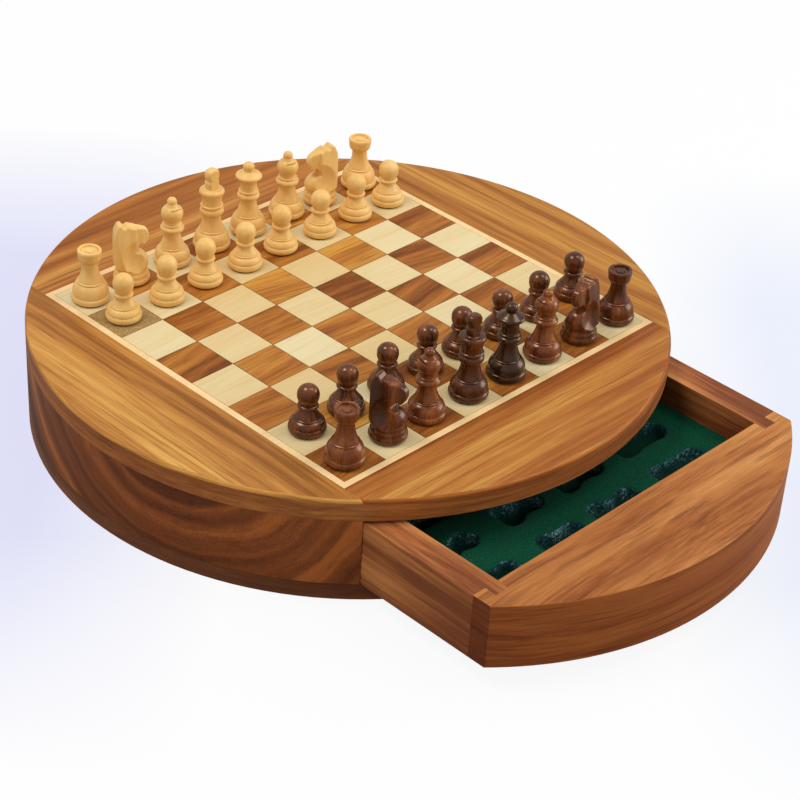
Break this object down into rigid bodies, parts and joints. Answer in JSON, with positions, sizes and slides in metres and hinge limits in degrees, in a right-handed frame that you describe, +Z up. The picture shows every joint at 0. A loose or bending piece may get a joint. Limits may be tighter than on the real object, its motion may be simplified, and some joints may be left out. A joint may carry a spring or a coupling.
{
  "type": "round chess box with drawers",
  "caption": "Round wooden chess box with an inlaid board on top, magnetic men, and drawers that slide out at front and rear with a felt insert recessed for the men.",
  "frame": {"origin": "centre of the round case on its underside", "axes": "+Z up, the front drawer opens toward -Y and the rear one toward +Y, +X along the front drawer's inner edge with the white queen's side of the board on +X"},
  "size_m": [0.305, 0.3778, 0.0961],
  "materials": {
    "sheesham": "satin lacquer",
    "rosewood_veneer": "satin lacquer",
    "maple": "satin lacquer",
    "thin_board": "bare plywood",
    "felted_board": "dark green flock",
    "steel": "plain sheet",
    "boxwood": "satin",
    "dark_rosewood": "gloss"
  },
  "bodies": {
    "case": {"base_board": "sheesham", "side_block_left": "sheesham", "side_block_right": "sheesham", "center_divider": "sheesham", "top_core": "sheesham", "steel_sheet": "steel", "light_squares": "maple", "dark_squares": "rosewood_veneer", "stringing": "maple", "border_front": "sheesham", "border_rear": "sheesham", "border_left": "sheesham", "border_right": "sheesham"},
    "front_drawer": {"front_drawer_block": "sheesham", "front_drawer_side_left": "sheesham", "front_drawer_side_right": "sheesham", "front_drawer_back": "sheesham", "front_drawer_bottom": "thin_board", "front_drawer_insert": "felted_board"},
    "rear_drawer": {"rear_drawer_block": "sheesham", "rear_drawer_side_left": "sheesham", "rear_drawer_side_right": "sheesham", "rear_drawer_back": "sheesham", "rear_drawer_bottom": "thin_board", "rear_drawer_insert": "felted_board"},
    "white_rook_a_man": {"white_rook_a": "boxwood"},
    "white_knight_b_man": {"white_knight_b": "boxwood"},
    "white_bishop_c_man": {"white_bishop_c": "boxwood"},
    "white_queen_man": {"white_queen": "boxwood"},
    "white_king_man": {"white_king": "boxwood"},
    "white_bishop_f_man": {"white_bishop_f": "boxwood"},
    "white_knight_g_man": {"white_knight_g": "boxwood"},
    "white_rook_h_man": {"white_rook_h": "boxwood"},
    "white_pawn_a_man": {"white_pawn_a": "boxwood"},
    "white_pawn_b_man": {"white_pawn_b": "boxwood"},
    "white_pawn_c_man": {"white_pawn_c": "boxwood"},
    "white_pawn_d_man": {"white_pawn_d": "boxwood"},
    "white_pawn_e_man": {"white_pawn_e": "boxwood"},
    "white_pawn_f_man": {"white_pawn_f": "boxwood"},
    "white_pawn_g_man": {"white_pawn_g": "boxwood"},
    "white_pawn_h_man": {"white_pawn_h": "boxwood"},
    "black_rook_a_man": {"black_rook_a": "dark_rosewood"},
    "black_knight_b_man": {"black_knight_b": "dark_rosewood"},
    "black_bishop_c_man": {"black_bishop_c": "dark_rosewood"},
    "black_queen_man": {"black_queen": "dark_rosewood"},
    "black_king_man": {"black_king": "dark_rosewood"},
    "black_bishop_f_man": {"black_bishop_f": "dark_rosewood"},
    "black_knight_g_man": {"black_knight_g": "dark_rosewood"},
    "black_rook_h_man": {"black_rook_h": "dark_rosewood"},
    "black_pawn_a_man": {"black_pawn_a": "dark_rosewood"},
    "black_pawn_b_man": {"black_pawn_b": "dark_rosewood"},
    "black_pawn_c_man": {"black_pawn_c": "dark_rosewood"},
    "black_pawn_d_man": {"black_pawn_d": "dark_rosewood"},
    "black_pawn_e_man": {"black_pawn_e": "dark_rosewood"},
    "black_pawn_f_man": {"black_pawn_f": "dark_rosewood"},
    "black_pawn_g_man": {"black_pawn_g": "dark_rosewood"},
    "black_pawn_h_man": {"black_pawn_h": "dark_rosewood"}
  },
  "joints": [
    {"name": "front_drawer_slide", "type": "slide", "parent": "case", "child": "front_drawer", "axis": [0, -1, 0], "range_m": [-0.0728, 0.0272]},
    {"name": "rear_drawer_slide", "type": "slide", "parent": "case", "child": "rear_drawer", "axis": [0, 1, 0], "range_m": [0, 0.1]},
    {"name": "white_rook_a_lift", "type": "slide", "parent": "case", "child": "white_rook_a_man", "axis": [0, 0, 1], "range_m": [0, 0.06]},
    {"name": "white_knight_b_lift", "type": "slide", "parent": "case", "child": "white_knight_b_man", "axis": [0, 0, 1], "range_m": [0, 0.06]},
    {"name": "white_bishop_c_lift", "type": "slide", "parent": "case", "child": "white_bishop_c_man", "axis": [0, 0, 1], "range_m": [0, 0.06]},
    {"name": "white_queen_lift", "type": "slide", "parent": "case", "child": "white_queen_man", "axis": [0, 0, 1], "range_m": [0, 0.06]},
    {"name": "white_king_lift", "type": "slide", "parent": "case", "child": "white_king_man", "axis": [0, 0, 1], "range_m": [0, 0.06]},
    {"name": "white_bishop_f_lift", "type": "slide", "parent": "case", "child": "white_bishop_f_man", "axis": [0, 0, 1], "range_m": [0, 0.06]},
    {"name": "white_knight_g_lift", "type": "slide", "parent": "case", "child": "white_knight_g_man", "axis": [0, 0, 1], "range_m": [0, 0.06]},
    {"name": "white_rook_h_lift", "type": "slide", "parent": "case", "child": "white_rook_h_man", "axis": [0, 0, 1], "range_m": [0, 0.06]},
    {"name": "white_pawn_a_lift", "type": "slide", "parent": "case", "child": "white_pawn_a_man", "axis": [0, 0, 1], "range_m": [0, 0.06]},
    {"name": "white_pawn_b_lift", "type": "slide", "parent": "case", "child": "white_pawn_b_man", "axis": [0, 0, 1], "range_m": [0, 0.06]},
    {"name": "white_pawn_c_lift", "type": "slide", "parent": "case", "child": "white_pawn_c_man", "axis": [0, 0, 1], "range_m": [0, 0.06]},
    {"name": "white_pawn_d_lift", "type": "slide", "parent": "case", "child": "white_pawn_d_man", "axis": [0, 0, 1], "range_m": [0, 0.06]},
    {"name": "white_pawn_e_lift", "type": "slide", "parent": "case", "child": "white_pawn_e_man", "axis": [0, 0, 1], "range_m": [0, 0.06]},
    {"name": "white_pawn_f_lift", "type": "slide", "parent": "case", "child": "white_pawn_f_man", "axis": [0, 0, 1], "range_m": [0, 0.06]},
    {"name": "white_pawn_g_lift", "type": "slide", "parent": "case", "child": "white_pawn_g_man", "axis": [0, 0, 1], "range_m": [0, 0.06]},
    {"name": "white_pawn_h_lift", "type": "slide", "parent": "case", "child": "white_pawn_h_man", "axis": [0, 0, 1], "range_m": [0, 0.06]},
    {"name": "black_rook_a_lift", "type": "slide", "parent": "case", "child": "black_rook_a_man", "axis": [0, 0, 1], "range_m": [0, 0.06]},
    {"name": "black_knight_b_lift", "type": "slide", "parent": "case", "child": "black_knight_b_man", "axis": [0, 0, 1], "range_m": [0, 0.06]},
    {"name": "black_bishop_c_lift", "type": "slide", "parent": "case", "child": "black_bishop_c_man", "axis": [0, 0, 1], "range_m": [0, 0.06]},
    {"name": "black_queen_lift", "type": "slide", "parent": "case", "child": "black_queen_man", "axis": [0, 0, 1], "range_m": [0, 0.06]},
    {"name": "black_king_lift", "type": "slide", "parent": "case", "child": "black_king_man", "axis": [0, 0, 1], "range_m": [0, 0.06]},
    {"name": "black_bishop_f_lift", "type": "slide", "parent": "case", "child": "black_bishop_f_man", "axis": [0, 0, 1], "range_m": [0, 0.06]},
    {"name": "black_knight_g_lift", "type": "slide", "parent": "case", "child": "black_knight_g_man", "axis": [0, 0, 1], "range_m": [0, 0.06]},
    {"name": "black_rook_h_lift", "type": "slide", "parent": "case", "child": "black_rook_h_man", "axis": [0, 0, 1], "range_m": [0, 0.06]},
    {"name": "black_pawn_a_lift", "type": "slide", "parent": "case", "child": "black_pawn_a_man", "axis": [0, 0, 1], "range_m": [0, 0.06]},
    {"name": "black_pawn_b_lift", "type": "slide", "parent": "case", "child": "black_pawn_b_man", "axis": [0, 0, 1], "range_m": [0, 0.06]},
    {"name": "black_pawn_c_lift", "type": "slide", "parent": "case", "child": "black_pawn_c_man", "axis": [0, 0, 1], "range_m": [0, 0.06]},
    {"name": "black_pawn_d_lift", "type": "slide", "parent": "case", "child": "black_pawn_d_man", "axis": [0, 0, 1], "range_m": [0, 0.06]},
    {"name": "black_pawn_e_lift", "type": "slide", "parent": "case", "child": "black_pawn_e_man", "axis": [0, 0, 1], "range_m": [0, 0.06]},
    {"name": "black_pawn_f_lift", "type": "slide", "parent": "case", "child": "black_pawn_f_man", "axis": [0, 0, 1], "range_m": [0, 0.06]},
    {"name": "black_pawn_g_lift", "type": "slide", "parent": "case", "child": "black_pawn_g_man", "axis": [0, 0, 1], "range_m": [0, 0.06]},
    {"name": "black_pawn_h_lift", "type": "slide", "parent": "case", "child": "black_pawn_h_man", "axis": [0, 0, 1], "range_m": [0, 0.06]}
  ]
}
